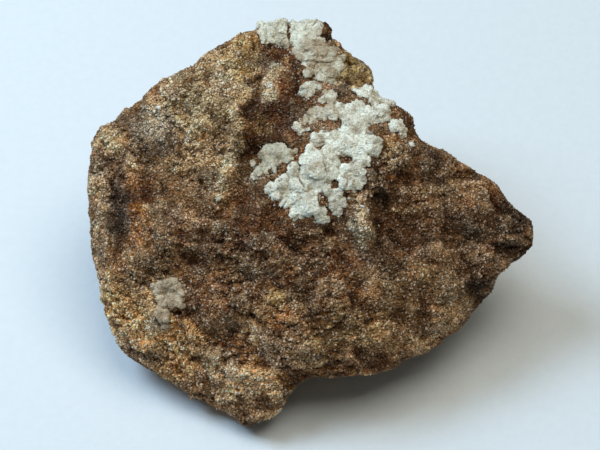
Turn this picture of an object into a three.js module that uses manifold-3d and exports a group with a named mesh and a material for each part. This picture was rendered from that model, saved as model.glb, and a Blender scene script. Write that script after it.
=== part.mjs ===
// A hand specimen of witzkeite: a rough chunk of brown, sandy rock whose broad face carries a
// crumbly, greenish white salt crust. Millimetres, +Z up. The origin is under the middle of the
// stone, on the surface that it rests on.
//
// The rock is one solid, described by a field that is negative inside it. The field is built in
// two frames: the stone's own (x, y, z), and the frame of its broad face (u to the right, v up
// along the face, w out of it), which leans back from the base.

import * as THREE from "three";
import { ImprovedNoise } from "three/addons/math/ImprovedNoise.js";
import { mergeVertices } from "three/addons/utils/BufferGeometryUtils.js";
import Module from "manifold-3d";

const { clamp, degToRad, smoothstep } = THREE.MathUtils;

// ---- Driving dimensions ----

const faceTilt = 55; // degrees above the horizon that the broad face looks
const faceHeight = 15; // height of the face frame's origin above the base
const coreHeight = 12.5; // height of the point that every ray to the surface starts from
const rockDetail = 16; // subdivisions of the icosahedron that the rock's mesh starts from
const rayStretch = new THREE.Vector3(1.35, 1.1, 0.95); // packs the rays towards the far ends
const eveningRounds = 6; // rounds that even out the rock's triangles
const crustGap = 0.3; // clearance between the rock and each crust
const groundSide = 80; // side of the block that cuts the base flat

// The stone's outline, seen square on to the broad face: [u, v], clockwise from the summit.
const outline = [
  [-4.9, 24.1], [-3.8, 24.3], [0, 24.4], [2.4, 24.6], [3.8, 23.8], [4.9, 22.1], [5.7, 20.4],
  [6.3, 19.2], [7.7, 18.6], [8.9, 17.3], [9.2, 15.1], [10.3, 14], [11.5, 13.3], [12.8, 13], [13.1, 11.4],
  [14.2, 10.1], [16.7, 8.5], [19, 6.7], [21.8, 5.2], [22.9, 4.3], [23.2, 3], [25.1, 1.5],
  [26.3, 0.2], [27, -1.6], [27.2, -3.9], [25.1, -4.1], [22.8, -5.2], [22.3, -7.2],
  [19.9, -9.8], [17.9, -12.5], [15.2, -14.3], [12.1, -15.2], [10.3, -16.6], [3.9, -17.3],
  [0.6, -17.5], [-1.1, -18.8], [-1.7, -20.6], [-3, -23], [-5.5, -23.9], [-7.6, -23.1],
  [-9.5, -21.3], [-13.6, -18.6], [-18.1, -16.2], [-20.5, -14.9], [-21.5, -12.4],
  [-22.4, -9.1], [-22.8, -6.6], [-23.9, -1.9], [-24.2, 2.4], [-24, 7], [-23.3, 10.7],
  [-21.8, 12.1], [-18.8, 14], [-16.5, 16.3], [-14.4, 17.5], [-12.2, 18.1], [-11.5, 19.2],
  [-10.4, 20.8], [-8.4, 21.4], [-7.1, 22.2], [-6.2, 23.4],
];

// The broad face is the lowest of these slopes: w = height + alongU * u + alongV * v.
const faceSlopes = [
  { name: "middle", height: 8.8, alongU: 0.02, alongV: 0.16 },
  { name: "shoulder", height: 9.6, alongU: 0.3, alongV: -0.24 },
  { name: "right", height: 10.2, alongU: -0.4, alongV: 0.1 },
  { name: "brow", height: 13.5, alongU: -0.05, alongV: -0.72 },
  { name: "heel", height: 13, alongU: 0.4, alongV: 0.42 },
  { name: "lower right", height: 16.5, alongU: -0.5, alongV: 0.55 },
  { name: "left rim", height: 20, alongU: 0.8, alongV: 0.02 },
];
const slopeBlend = 3; // how widely one slope rounds into the next

// A ledge across the face: the ground drops on the right-hand side of the line and recovers.
const ledgeLine = [[-5.5, 19.5], [-6.6, 13], [-7.6, 7.5], [-8.6, 3.8], [-12.4, 0.4], [-16.2, -3.6]];
const ledgeDrop = 1.5;
const ledgeFoot = 2.2; // width of the drop
const ledgeRecovery = 7.5; // distance at which the ground is level again

// Swells and hollows on the broad face: a turned, stretched bell at [u, v], height out of it.
const swells = [
  { name: "hollow under the summit", at: [-1.5, 13], size: [2, 4.6], turn: -25, height: -1.6 },
  { name: "brown pit below the summit", at: [-2.7, 20.2], size: [1.5, 1.1], turn: 0, height: -0.9 },
  { name: "crust ridge", at: [6.4, 9.5], size: [2.6, 6], turn: -12, height: 1.1 },
  { name: "grey knob", at: [-2.9, 15.6], size: [1, 1.9], turn: -20, height: 0.9 },
  { name: "pit by the crust", at: [4.6, 15.4], size: [0.8, 0.9], turn: 0, height: -0.8 },
  { name: "slot beside the crust", at: [8.7, 10.8], size: [1.1, 0.6], turn: 15, height: -0.9 },
  { name: "knuckle", at: [10.6, 7.4], size: [1.9, 1.6], turn: 30, height: 0.9 },
  { name: "undercut", at: [9.9, 2.4], size: [1.7, 0.9], turn: 25, height: -1.4 },
  { name: "dent", at: [13.2, 5.6], size: [2.3, 1.3], turn: -20, height: -0.9 },
  { name: "spur", at: [7, 0.6], size: [0.8, 3], turn: -8, height: 0.7 },
  { name: "back of the right arm", at: [15, 1.2], size: [4.6, 1.3], turn: 8, height: 0.6 },
  { name: "left channel", at: [-20.4, 3], size: [1.2, 3.8], turn: 6, height: -0.8 },
  { name: "pocket by the edge", at: [13.7, -9.6], size: [2, 1.3], turn: 35, height: -0.9 },
  { name: "lower swell", at: [-3, -10], size: [5, 3.4], turn: 20, height: 0.7 },
  { name: "hollow over the heel", at: [-8.5, -12], size: [2.2, 1.6], turn: 20, height: -0.7 },
  { name: "ridge of the heel", at: [-6.5, -17], size: [4.5, 1.6], turn: -35, height: 0.7 },
  { name: "crease above the heel", at: [-12, -14.5], size: [4.5, 1], turn: -38, height: -0.5 },
];

// Break faces that shape the sides and the back. Each leaves the outline's widest point on its
// side at a depth behind the face frame's origin, and closes in from there: around is counted in
// the face from +u towards +v, and lean is how far the break turns from the side to the back.
const breaks = [
  { name: "back", around: 92, lean: 37, behind: 6 },
  { name: "back low", around: 100, lean: 62, behind: 8.4 },
  { name: "back right", around: 42, lean: 48, behind: 3 },
  { name: "right", around: 8, lean: 58, behind: 5 },
  { name: "back left", around: 138, lean: 42, behind: 5 },
  { name: "left", around: 182, lean: 36, behind: 4 },
  { name: "left low", around: 196, lean: 60, behind: 6 },
];
const breakBlend = 2.4;

// The right arm hangs clear of the surface: everything under its sole and outside the heel's
// flank is missing.
const soleNormal = new THREE.Vector3(0.16, -0.3, -0.93).normalize();
const solePoint = new THREE.Vector3(0.5, -15, 4.2);
const flankNormal = new THREE.Vector3(0.86, -0.42, 0.3).normalize();
const flankPoint = new THREE.Vector3(-0.4, -16.4, 3);

// The underside bulges down as part of a great ball, so that only its middle meets the surface.
const bulgeRadius = 90;
const bulgeCenter = new THREE.Vector3(-0.5, -3, bulgeRadius - 0.5);

const rimDepth = 2; // the outline is widest this far behind the broad face
const frontRounding = 0.09; // how fast the wall closes in towards the face, per mm squared
const backDraft = 0.34; // how fast it closes in towards the back, per mm
const rimBlend = 2.2; // how far the edges between the face, the wall and the back are worn
const soleBlend = 1.2;

// Roughness of the rock, as { size, depth } octaves from lumps down to ledges and pits.
const roughness = [
  { size: 8.5, depth: 1.5 },
  { size: 4.1, depth: 1 },
  { size: 2.2, depth: 0.6 },
];

// The crusts, each grown together from lumps on the broad face, as [u, v, radius]. rise is how far
// a lump of 1 mm radius stands above the rock.
const crusts = [
  {
    name: "main_crust",
    color: 0xc9cdbc,
    rise: 1.2,
    lumps: [
      [8.1, 13.9, 1.55], [6.7, 12.7, 1.35], [4.6, 12.5, 1.15], [2.4, 12.2, 1], [5.9, 10.9, 1.5],
      [7.3, 9.4, 1.45], [4.9, 9.2, 1.3], [3, 9.6, 0.95], [7.9, 8.1, 0.95], [5.8, 7.9, 1.3],
      [3.8, 7.5, 1.4], [1.8, 7, 1.45], [2.4, 5.4, 1.4], [0.5, 5.4, 1], [5.7, 5.2, 1.5],
      [1.2, 3.7, 1.5], [-0.6, 3.6, 1.1], [-2.4, 4.1, 1.2], [-1.4, 2.4, 1.05], [0.3, 2.1, 1.35],
      [1.9, 1.3, 0.9], [4.3, 2.8, 1.1], [3, 4.1, 0.75], [-0.9, 5.7, 0.8],
    ],
  },
  {
    name: "summit_crust",
    color: 0xc2c0aa,
    rise: 0.75,
    lumps: [
      [-3.9, 22.1, 1.2], [-2.6, 22.7, 1.35], [-2.2, 21.4, 1.3], [-1, 22, 1], [0, 22.8, 1.35],
      [0.2, 21.4, 1.3], [1.6, 22.1, 1.2], [0.8, 19.6, 1.1], [2.2, 19.6, 1.2], [3.7, 19, 1.1],
      [4.8, 18.3, 0.85], [2.6, 17.7, 1.05], [3.2, 16.5, 1], [1.7, 16.3, 0.85], [1.2, 15.2, 0.95],
    ],
  },
  {
    name: "side_crust",
    color: 0xb9bdaa,
    rise: 1.2,
    lumps: [[-2, 8.3, 1.35], [-3.4, 7.9, 1.1], [-2.6, 7, 0.95], [-4.4, 6.9, 0.85]],
  },
  {
    name: "crust_nub",
    color: 0xc4c7b4,
    rise: 1.2,
    lumps: [[11.4, 10.8, 0.95]],
  },
  {
    name: "grey_patch",
    color: 0x9c9484,
    rise: 0.9,
    lumps: [
      [-15.9, -7, 0.9], [-14.2, -7, 0.95], [-15.6, -8.4, 0.9], [-14.1, -8.1, 0.75],
      [-15.8, -9.7, 0.8], [-15.6, -10.9, 0.65],
    ],
  },
];
const crustUnevenness = 0.4; // how far its top wanders up and down
const crustCell = 0.62; // size of the facets on a crust's top
const crustDepth = 1; // how far a crust's slab reaches into the rock before it is cut
const faceReach = 1.8; // how far the face is followed over its edge

// ---- The rock's field ----

const tilt = degToRad(faceTilt);
const faceUp = new THREE.Vector3(0, Math.sin(tilt), Math.cos(tilt));
const faceOut = new THREE.Vector3(0, -Math.cos(tilt), Math.sin(tilt));
const faceOrigin = new THREE.Vector3(0, 0, faceHeight);
const core = new THREE.Vector3(0, 0, coreHeight);
const perlin = new ImprovedNoise();

// The larger of a and b, rounded over where they are within blend of each other.
function smoothMax(a, b, blend) {
  const overlap = Math.max(blend - Math.abs(a - b), 0) / blend;
  return Math.max(a, b) + (overlap * overlap * blend) / 4;
}

function distanceToSegment(u, v, [au, av], [bu, bv]) {
  const along = ((u - au) * (bu - au) + (v - av) * (bv - av)) / ((bu - au) ** 2 + (bv - av) ** 2);
  const t = clamp(along, 0, 1);
  return Math.hypot(u - au - t * (bu - au), v - av - t * (bv - av));
}

// Signed distance to the outline, negative inside it.
function outlineDistance(u, v) {
  let nearest = Infinity;
  let inside = false;
  outline.forEach((a, i) => {
    const b = outline[(i + 1) % outline.length];
    nearest = Math.min(nearest, distanceToSegment(u, v, a, b));
    const crosses = a[1] > v !== b[1] > v;
    if (crosses && u < a[0] + ((b[0] - a[0]) * (v - a[1])) / (b[1] - a[1])) inside = !inside;
  });
  return inside ? -nearest : nearest;
}

// How far the ground lies below the ledge's top at [u, v].
function ledgeDepth(u, v) {
  let nearest = Infinity;
  let side = 0;
  for (let i = 0; i + 1 < ledgeLine.length; i++) {
    const [a, b] = [ledgeLine[i], ledgeLine[i + 1]];
    const distance = distanceToSegment(u, v, a, b);
    if (distance >= nearest) continue;
    nearest = distance;
    side = Math.sign((b[1] - a[1]) * (u - a[0]) - (b[0] - a[0]) * (v - a[1]));
  }
  if (side > 0) return 0;
  const [top, bottom] = [ledgeLine[0], ledgeLine.at(-1)];
  const fromEnd = Math.min(Math.hypot(u - top[0], v - top[1]), Math.hypot(u - bottom[0], v - bottom[1]));
  const fades = smoothstep(fromEnd, 0.5, 5) * (1 - smoothstep(nearest, 2, ledgeRecovery));
  return ledgeDrop * smoothstep(nearest, 0, ledgeFoot) * fades;
}

function swellHeight({ at, size, turn, height }, u, v) {
  const angle = degToRad(turn);
  const along = (u - at[0]) * Math.cos(angle) + (v - at[1]) * Math.sin(angle);
  const across = (v - at[1]) * Math.cos(angle) - (u - at[0]) * Math.sin(angle);
  return height * Math.exp(-((along / size[0]) ** 2) - (across / size[1]) ** 2);
}

// Height w of the broad face above [u, v], without its roughness.
function faceHeightAt(u, v) {
  const slopes = faceSlopes.map((s) => -(s.height + s.alongU * u + s.alongV * v));
  return -slopes.reduce((a, b) => smoothMax(a, b, slopeBlend));
}

function roughnessAt(p) {
  return roughness.reduce((sum, { size, depth }, i) => {
    const offset = 17.3 * (i + 1); // moves each octave off the others' lattice
    return sum + depth * perlin.noise(p.x / size + offset, p.y / size - offset, p.z / size + offset);
  }, 0);
}

const breakPlanes = breaks.map(({ around, lean, behind }) => {
  const turn = degToRad(around);
  const [cos, sin] = [Math.cos(degToRad(lean)), Math.sin(degToRad(lean))];
  const widest = Math.max(...outline.map(([u, v]) => u * Math.cos(turn) + v * Math.sin(turn)));
  return {
    u: Math.cos(turn) * cos,
    v: Math.sin(turn) * cos,
    w: -sin,
    distance: widest * cos + behind * sin,
  };
});

function rockField(p) {
  const fromFace = p.clone().sub(faceOrigin);
  const u = fromFace.x;
  const v = fromFace.dot(faceUp);
  const w = fromFace.dot(faceOut);
  const rough = roughnessAt(p);

  const slope = faceHeightAt(u, v);
  const relief = swells.reduce((sum, swell) => sum + swellHeight(swell, u, v), 0);
  const face = w - slope - relief + ledgeDepth(u, v) + rough;

  const pastRim = w - (slope - rimDepth);
  const closing = pastRim > 0 ? frontRounding * pastRim ** 2 : -backDraft * pastRim;
  const roughWall = Math.max(rough, -0.8 * closing) * smoothstep(-pastRim, 0.3, 2.5);
  const wall = outlineDistance(u, v) + closing + roughWall;

  const back = breakPlanes
    .map((plane) => plane.u * u + plane.v * v + plane.w * w - plane.distance + rough)
    .reduce((a, b) => smoothMax(a, b, breakBlend));

  const sole = soleNormal.dot(p.clone().sub(solePoint));
  const flank = flankNormal.dot(p.clone().sub(flankPoint));
  const missing = Math.min(sole, flank) + 0.6 * rough;

  const under = p.distanceTo(bulgeCenter) - bulgeRadius + 0.25 * rough;

  const sides = smoothMax(smoothMax(face, wall, rimBlend), back, rimBlend);
  return smoothMax(smoothMax(sides, missing, soleBlend), under, soleBlend);
}

// ---- Meshes and solids ----

const wasm = await Module();
wasm.setup();

// A closed geometry as a manifold-3d solid.
function solidFrom(geometry) {
  const bare = new THREE.BufferGeometry();
  bare.setAttribute("position", geometry.getAttribute("position"));
  if (geometry.index) bare.setIndex(geometry.index);
  const merged = mergeVertices(bare, 1e-4);
  return new wasm.Manifold(
    new wasm.Mesh({
      numProp: 3,
      vertProperties: new Float32Array(merged.getAttribute("position").array),
      triVerts: new Uint32Array(merged.index.array),
    }),
  );
}

function geometryFrom(solid) {
  const mesh = solid.getMesh();
  const geometry = new THREE.BufferGeometry();
  geometry.setAttribute("position", new THREE.BufferAttribute(mesh.vertProperties, 3));
  geometry.setIndex(new THREE.BufferAttribute(mesh.triVerts, 1));
  geometry.computeVertexNormals();
  return geometry;
}

const xyz = [new THREE.Vector3(1, 0, 0), new THREE.Vector3(0, 1, 0), new THREE.Vector3(0, 0, 1)];

// How the field grows at a point, read over a small reach either way.
function fieldGradient(point, reach) {
  const along = (axis) =>
    rockField(point.clone().addScaledVector(axis, reach)) -
    rockField(point.clone().addScaledVector(axis, -reach));
  return new THREE.Vector3(...xyz.map(along)).divideScalar(2 * reach);
}

// A point near the surface, moved on to it along the field's slope.
function pulledToSurface(point) {
  const gradient = fieldGradient(point, 0.3);
  const offset = clamp(rockField(point) / gradient.lengthSq(), -0.8, 0.8);
  return point.clone().addScaledVector(gradient, -offset);
}

// The point where a ray from the core leaves the rock.
function surfacePoint(direction) {
  const at = (r) => core.clone().addScaledVector(direction, r);
  const stride = 0.5;
  let near = 2;
  while (rockField(at(near + stride)) < 0) near += stride;
  let far = near + stride;
  for (let i = 0; i < 10; i++) {
    const middle = (near + far) / 2;
    if (rockField(at(middle)) < 0) near = middle;
    else far = middle;
  }
  return at((near + far) / 2);
}

// Every vertex with the vertices that it shares an edge with.
function neighboursOf(index, count) {
  const neighbours = Array.from({ length: count }, () => new Set());
  for (let i = 0; i < index.count; i += 3) {
    const corners = [index.getX(i), index.getX(i + 1), index.getX(i + 2)];
    corners.forEach((a, j) => neighbours[a].add(corners[(j + 1) % 3]).add(corners[(j + 2) % 3]));
  }
  return neighbours.map((set) => [...set]);
}

// The rock as a ball whose vertices are carried out to the surface by rays from the core, then
// evened out: each moves to the middle of its neighbours and back on to the surface.
function rockGeometry() {
  const geometry = new THREE.IcosahedronGeometry(1, rockDetail);
  geometry.deleteAttribute("normal");
  geometry.deleteAttribute("uv");
  const ball = mergeVertices(geometry, 1e-5);
  const position = ball.getAttribute("position");
  let points = Array.from({ length: position.count }, (_, i) =>
    surfacePoint(new THREE.Vector3().fromBufferAttribute(position, i).multiply(rayStretch).normalize()),
  );
  const neighbours = neighboursOf(ball.index, position.count);
  for (let round = 0; round < eveningRounds; round++) {
    points = points.map((point, i) => {
      const middle = new THREE.Vector3();
      for (const j of neighbours[i]) middle.add(points[j]);
      return pulledToSurface(middle.divideScalar(neighbours[i].length).lerp(point, 0.35));
    });
  }
  points.forEach((point, i) => position.setXYZ(i, point.x, point.y, point.z));
  ball.computeVertexNormals();
  return ball;
}

// The same ball with every vertex moved outwards.
function movedOut(geometry, distance) {
  const moved = geometry.clone();
  const position = moved.getAttribute("position");
  const normal = moved.getAttribute("normal");
  for (let i = 0; i < position.count; i++) {
    position.setXYZ(
      i,
      position.getX(i) + distance * normal.getX(i),
      position.getY(i) + distance * normal.getY(i),
      position.getZ(i) + distance * normal.getZ(i),
    );
  }
  return moved;
}

function fromFaceFrame(u, v, w) {
  return new THREE.Vector3(u, 0, 0)
    .addScaledVector(faceUp, v)
    .addScaledVector(faceOut, w)
    .add(faceOrigin);
}

// The point of the rock under [u, v] on the broad face, and the way it faces there. Past the
// outline it is the nearest point of the side.
function facePoint(u, v) {
  const slope = faceHeightAt(u, v);
  let w = slope + 4;
  while (w > slope - faceReach && rockField(fromFaceFrame(u, v, w)) > 0) w -= 0.1;
  let point = fromFaceFrame(u, v, w);
  for (let round = 0; round < 5; round++) point = pulledToSurface(point);
  return { point, normal: fieldGradient(point, 0.5).normalize() };
}

// How far a crust's top stands above the rock at [u, v]; below it outside of every lump.
function crustHeight({ lumps, rise }, u, v) {
  const rises = lumps.map(([lumpU, lumpV, radius]) => {
    const reach = Math.hypot(u - lumpU, v - lumpV) / radius;
    return rise * radius ** 0.5 * (1 - reach ** 4);
  });
  const noise = perlin.noise(u * 0.9, v * 0.9, 3.5);
  return clamp(Math.max(...rises), -crustDepth / 2, Infinity) + crustUnevenness * noise;
}

const rockBall = rockGeometry();
const ground = new THREE.BoxGeometry(groundSide, groundSide, groundSide);
ground.translate(0, 0, -groundSide / 2);
const rockSolid = solidFrom(rockBall).subtract(solidFrom(ground));
const crustFloor = solidFrom(movedOut(rockBall, crustGap));

// A crust: a slab whose top follows the face and rises over each lump, less the rock below it.
// Crumbs cut loose are left out.
function crustSolid(crust) {
  const bounds = new THREE.Box2();
  for (const [u, v, radius] of crust.lumps) {
    bounds.expandByPoint(new THREE.Vector2(u - radius, v - radius));
    bounds.expandByPoint(new THREE.Vector2(u + radius, v + radius));
  }
  const size = bounds.getSize(new THREE.Vector2());
  const center = bounds.getCenter(new THREE.Vector2());
  const cells = size.clone().divideScalar(crustCell).ceil();
  const slab = new THREE.BoxGeometry(size.x, size.y, 1, cells.x, cells.y, 1);
  const position = slab.getAttribute("position");
  for (let i = 0; i < position.count; i++) {
    const isTop = position.getZ(i) > 0;
    const u = center.x + position.getX(i);
    const v = center.y + position.getY(i);
    const { point, normal } = facePoint(u, v);
    point.addScaledVector(normal, isTop ? crustHeight(crust, u, v) : -crustDepth);
    position.setXYZ(i, point.x, point.y, point.z);
  }
  const bodies = solidFrom(slab).subtract(crustFloor).decompose();
  return bodies.reduce((a, b) => (b.volume() > a.volume() ? b : a));
}

// ---- The specimen ----

const specimen = new THREE.Group();

function addPiece(name, solid, color, roughnessValue) {
  const material = new THREE.MeshStandardMaterial({ color, roughness: roughnessValue, metalness: 0 });
  const mesh = new THREE.Mesh(geometryFrom(solid), material);
  mesh.name = name;
  specimen.add(mesh);
}

addPiece("matrix", rockSolid, 0x6b4a30, 0.95);
for (const crust of crusts) addPiece(crust.name, crustSolid(crust), crust.color, 1);

// The origin goes under the middle of the stone.
const box = new THREE.Box3().setFromObject(specimen);
const middle = box.getCenter(new THREE.Vector3());
specimen.position.set(-middle.x, -middle.y, -box.min.z);

export default specimen;
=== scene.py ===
import math

import bmesh
import bpy
import numpy as np
from mathutils import Matrix, Vector, noise
from mathutils.bvhtree import BVHTree


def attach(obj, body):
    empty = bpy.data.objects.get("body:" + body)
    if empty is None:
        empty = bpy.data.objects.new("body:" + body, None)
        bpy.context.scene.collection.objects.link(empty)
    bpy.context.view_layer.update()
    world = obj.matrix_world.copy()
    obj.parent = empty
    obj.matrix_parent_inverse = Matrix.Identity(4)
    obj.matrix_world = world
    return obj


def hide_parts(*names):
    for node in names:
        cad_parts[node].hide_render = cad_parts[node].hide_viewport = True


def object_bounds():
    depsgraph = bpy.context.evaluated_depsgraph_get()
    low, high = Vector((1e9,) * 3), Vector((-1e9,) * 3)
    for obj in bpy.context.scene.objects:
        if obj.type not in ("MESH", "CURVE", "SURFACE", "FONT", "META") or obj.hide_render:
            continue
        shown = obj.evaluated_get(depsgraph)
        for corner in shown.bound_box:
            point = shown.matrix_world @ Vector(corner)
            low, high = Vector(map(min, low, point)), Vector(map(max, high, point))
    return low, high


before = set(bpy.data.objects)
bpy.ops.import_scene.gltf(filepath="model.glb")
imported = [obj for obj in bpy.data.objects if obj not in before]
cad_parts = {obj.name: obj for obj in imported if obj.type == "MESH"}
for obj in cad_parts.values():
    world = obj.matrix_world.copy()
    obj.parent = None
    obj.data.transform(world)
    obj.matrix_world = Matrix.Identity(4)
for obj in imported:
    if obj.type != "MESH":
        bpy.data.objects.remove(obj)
cadLow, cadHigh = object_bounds()

# Everything below is in millimetres and goes down to metres in finishPiece.
millimetre = 0.001
cadLowMm = np.array(cadLow) / millimetre
cadHighMm = np.array(cadHigh) / millimetre

# The broad face of the stone: u to the right, v up along the face, w straight out of it.
faceTilt = math.radians(55)
faceOrigin = np.array((-1.12, -1.90, 15.0))
faceRight = np.array((1.0, 0.0, 0.0))
faceUp = np.array((0.0, math.sin(faceTilt), math.cos(faceTilt)))
faceOut = np.array((0.0, -math.cos(faceTilt), math.sin(faceTilt)))
viewLook = {"lens": 180.0, "sensor": 36.0, "across": 67.7, "clip": (0.01, 10)}  # mm, clip in metres
cameraAway = viewLook["across"] * viewLook["lens"] / viewLook["sensor"]


def fromFace(u, v, w=0.0):
    return faceOrigin + u * faceRight + v * faceUp + w * faceOut


def seenFace(points):
    # u and v as the camera sees them, near enough for the high parts to look wider
    away = points - faceOrigin
    face = np.stack([away @ faceRight, away @ faceUp], axis=1)
    return face * (cameraAway / (cameraAway - away @ faceOut))[:, None]


def smoothStep(low, high, value):
    share = np.clip((value - low) / (high - low), 0, 1)
    return share * share * (3 - 2 * share)


def noiseAt(points, size, shift=0.0):
    # about -0.7 to 0.7; shift makes one noise unlike another
    return np.array([noise.noise(p) for p in (points / size + shift).tolist()])


def clodsAt(points, size, shift=0.0, crease=0.0, creaseWidth=0.09):
    # rounded lumps, about -0.35 to 0.6, with narrow creases between them
    swell = np.abs(noiseAt(points, size, shift))
    return 2 * swell - 0.35 + 0.1 * crease - crease * (1 - smoothStep(0.0, creaseWidth, swell))


def chipsAt(points, size, shift=0.0, stepWidth=0.12):
    # flat faces of broken stone, each leaning its own way
    heights = []
    for p in (points / size + shift).tolist():
        distances, centres = noise.voronoi(p)
        spot = Vector(p)
        leans = [noise.cell_vector(c * 7.31).dot(spot - c) for c in centres[:2]]
        share = min(1.0, (distances[1] - distances[0]) / stepWidth)
        heights.append(leans[0] * (0.5 + 0.5 * share) + leans[1] * (0.5 - 0.5 * share))
    return np.array(heights) * size


def spotShares(face, spot):
    # how far along and across a turned oval each point is, 1 at its edge
    centreU, centreV, halfWidth, halfHeight, turn = spot
    turned = math.radians(turn)
    du, dv = face[:, 0] - centreU, face[:, 1] - centreV
    along = (du * math.cos(turned) + dv * math.sin(turned)) / halfWidth
    across = (-du * math.sin(turned) + dv * math.cos(turned)) / halfHeight
    return along, across


def wanderedFace(points, amount, size, shifts):
    # the seen u and v, pushed about a little, so that no edge is a clean oval
    pushes = np.stack([noiseAt(points, size, shift) for shift in shifts], axis=1)
    return seenFace(points) + amount * pushes


def blended(colour, paint, share):
    # each point's own share of the way from its colour to the paint
    return colour + share[:, None] * (np.array(paint) - colour)


def newObject(name, data):
    made = bpy.data.objects.new(name, data)
    bpy.context.scene.collection.objects.link(made)
    return made


def meshFrom(bm, name):
    mesh = bpy.data.meshes.new(name)
    bm.to_mesh(mesh)
    bm.free()
    return mesh


def nodeCopy(name):
    bm = bmesh.new()
    bm.from_mesh(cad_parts[name].data)
    bmesh.ops.remove_doubles(bm, verts=bm.verts, dist=1e-6)
    bmesh.ops.scale(bm, vec=(1 / millimetre,) * 3, verts=bm.verts)
    bm.normal_update()
    return bm


def remeshed(bm, voxel):
    # one closed skin of even squares round everything in bm
    mesh = meshFrom(bm, "work")
    work = newObject("work", mesh)
    skin = work.modifiers.new("skin", "REMESH")
    skin.mode = "VOXEL"
    skin.voxel_size = voxel
    bpy.context.view_layer.update()
    made = bmesh.new()
    made.from_object(work, bpy.context.evaluated_depsgraph_get())
    bpy.data.objects.remove(work)
    bpy.data.meshes.remove(mesh)
    return made


def smoothOut(bm, times):
    for _ in range(times):
        bmesh.ops.smooth_vert(
            bm, verts=bm.verts, factor=0.5, use_axis_x=True, use_axis_y=True, use_axis_z=True
        )


def vertexPlaces(mesh, kind="co"):
    values = np.zeros(len(mesh.vertices) * 3)
    mesh.vertices.foreach_get(kind, values)
    return values.reshape(-1, 3)


def placesAndNormals(mesh):
    return vertexPlaces(mesh), vertexPlaces(mesh, "normal")


def meshTree(mesh):
    return BVHTree.FromPolygons(vertexPlaces(mesh).tolist(), [tuple(p.vertices) for p in mesh.polygons])


def setPlaces(mesh, places):
    mesh.vertices.foreach_set("co", places.ravel())
    mesh.update()


def setColourAndPaintedLight(mesh, colours):
    # the layer holds each point's colour, with its painted shade and painted light
    layer = mesh.color_attributes.new("colourAndPaintedLight", "FLOAT_COLOR", "POINT")
    full = np.ones((len(colours), 4))
    full[:, :3] = np.clip(colours, 0, 1)
    layer.data.foreach_set("color", full.ravel())


def finishPiece(name, mesh, material, replaced=()):
    setPlaces(mesh, np.clip(vertexPlaces(mesh), cadLowMm, cadHighMm) * millimetre)
    mesh.name = name
    mesh.materials.append(material)
    piece = newObject(name, mesh)
    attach(piece, "root")
    if replaced:
        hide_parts(*replaced)
    print(name, "triangles", sum(len(p.vertices) - 2 for p in mesh.polygons))


# Materials


def newNode(tree, kind, settings={}):
    node = tree.nodes.new("ShaderNode" + kind)
    setSockets(tree, node, settings)
    return node


def setSockets(tree, node, settings):
    # a setting is one value all over, or what another node gives
    for socket, value in settings.items():
        if isinstance(value, bpy.types.NodeSocket):
            tree.links.new(value, node.inputs[socket])
        else:
            node.inputs[socket].default_value = value


def newMaterial(name):
    material = bpy.data.materials.new(name)
    material.use_nodes = True
    tree = material.node_tree
    tree.nodes.clear()
    shader = newNode(tree, "BsdfPrincipled")
    newNode(tree, "OutputMaterial", {"Surface": shader.outputs["BSDF"]})
    return material, tree, shader


def objectTexture(tree, kind, size, settings={}):
    # size is the size of one spot or cell in millimetres
    place = newNode(tree, "TexCoord").outputs["Object"]
    return newNode(tree, kind, {"Vector": place, "Scale": 1 / (size * millimetre), **settings})


def objectNoise(tree, size, detail, rough):
    texture = objectTexture(tree, "TexNoise", size, {"Detail": detail, "Roughness": rough})
    return texture.outputs["Fac"]


def objectCells(tree, size):
    # two random greys for each cell, and how far it is to the middle
    texture = objectTexture(tree, "TexVoronoi", size)
    parts = newNode(tree, "SeparateColor", {"Color": texture.outputs["Color"]})
    return parts.outputs["Red"], parts.outputs["Green"], texture.outputs["Distance"]


def stretched(tree, value, low, high, source=(0.3, 0.7)):
    # a noise lies mostly between 0.3 and 0.7
    ends = {"From Min": source[0], "From Max": source[1], "To Min": low, "To Max": high}
    return newNode(tree, "MapRange", {"Value": value, **ends}).outputs["Result"]


def colourAndPaintedLightLayer(tree):
    # the colour layer, with its painted shade and painted light
    layer = newNode(tree, "VertexColor")
    layer.layer_name = "colourAndPaintedLight"
    return layer.outputs["Color"]


def multiplied(tree, first, second, kind="Math"):
    # VectorMath multiplies two colours
    node = newNode(tree, kind, {0: first, 1: second})
    node.operation = "MULTIPLY"
    return node.outputs[0]


def scaledColour(tree, colour, factor):
    # factor is a grey value that lightens or darkens the colour
    node = newNode(tree, "VectorMath")
    node.operation = "SCALE"
    setSockets(tree, node, {0: colour, "Scale": factor})
    return node.outputs["Vector"]


def mixed(tree, factor, first, second):
    # a Mix node has sockets for each type: colours are inputs 6 and 7 and output 2
    mix = newNode(tree, "Mix", {"Factor": factor, 6: (*first, 1), 7: (*second, 1)})
    mix.data_type = "RGBA"
    return mix.outputs[2]


def addBump(tree, shader, heights):
    # heights holds pairs of a grey value and how tall it is in millimetres
    below = {}
    for height, tall in heights:
        bump = {"Strength": 1.0, "Distance": tall * millimetre, "Height": height, **below}
        below = {"Normal": newNode(tree, "Bump", bump).outputs["Normal"]}
    setSockets(tree, shader, below)


# The ground between the grains: sizes in mm, shades as shares of the colour layer, bumps in mm
stoneFinish = {
    "sandSize": 0.15,
    "sandShades": (0.25, 1.95),
    "sandHues": ((1.03, 1.0, 0.94), (0.99, 1.0, 1.04)),
    "clots": (0.45, 3.0, 0.65),  # size, detail and roughness of a noise
    "clotShades": (0.75, 1.25),
    "fine": (0.10, 2.0, 0.6),
    "roughness": (0.7, 0.98),
    "bumps": (0.14, 0.10, 0.05),  # clots, sand, fine
}


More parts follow.
